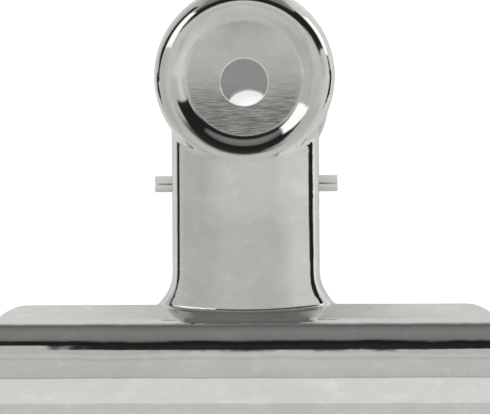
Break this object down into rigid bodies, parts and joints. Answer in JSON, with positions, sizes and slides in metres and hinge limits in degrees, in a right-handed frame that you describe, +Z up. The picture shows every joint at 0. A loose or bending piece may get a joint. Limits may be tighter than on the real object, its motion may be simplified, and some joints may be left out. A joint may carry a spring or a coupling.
{
  "type": "bulldog clip",
  "caption": "Bulldog paper clip: pressed plates with ridged jaws and round thumb pads turn on a rolled pin, and a torsion spring closes the jaws.",
  "frame": {"origin": "middle of the clip's bounding box, on the surface that the clip lies on", "axes": "+X across the jaws, +Y from the jaws towards the handles, +Z up out of the surface, towards the front plate"},
  "size_m": [0.075, 0.0694, 0.0245],
  "materials": {
    "plate": "bright nickel plate with fine rubbing marks",
    "pin": "bright nickel plate",
    "spring": "drawn spring wire"
  },
  "bodies": {
    "rear_half": {"rear_plate": "plate", "pivot_pin": "pin", "torsion_spring": "spring"},
    "front_half": {"front_plate": "plate"}
  },
  "joints": [
    {"name": "jaw_hinge", "type": "hinge", "parent": "rear_half", "child": "front_half", "pos_m": [0, 0.00617, 0.0097], "axis": [-1, 0, 0], "range_deg": [0, 33], "stiffness_Nm_per_rad": 0.49, "springref_deg": -45.84, "deforming": ["torsion_spring"]}
  ]
}
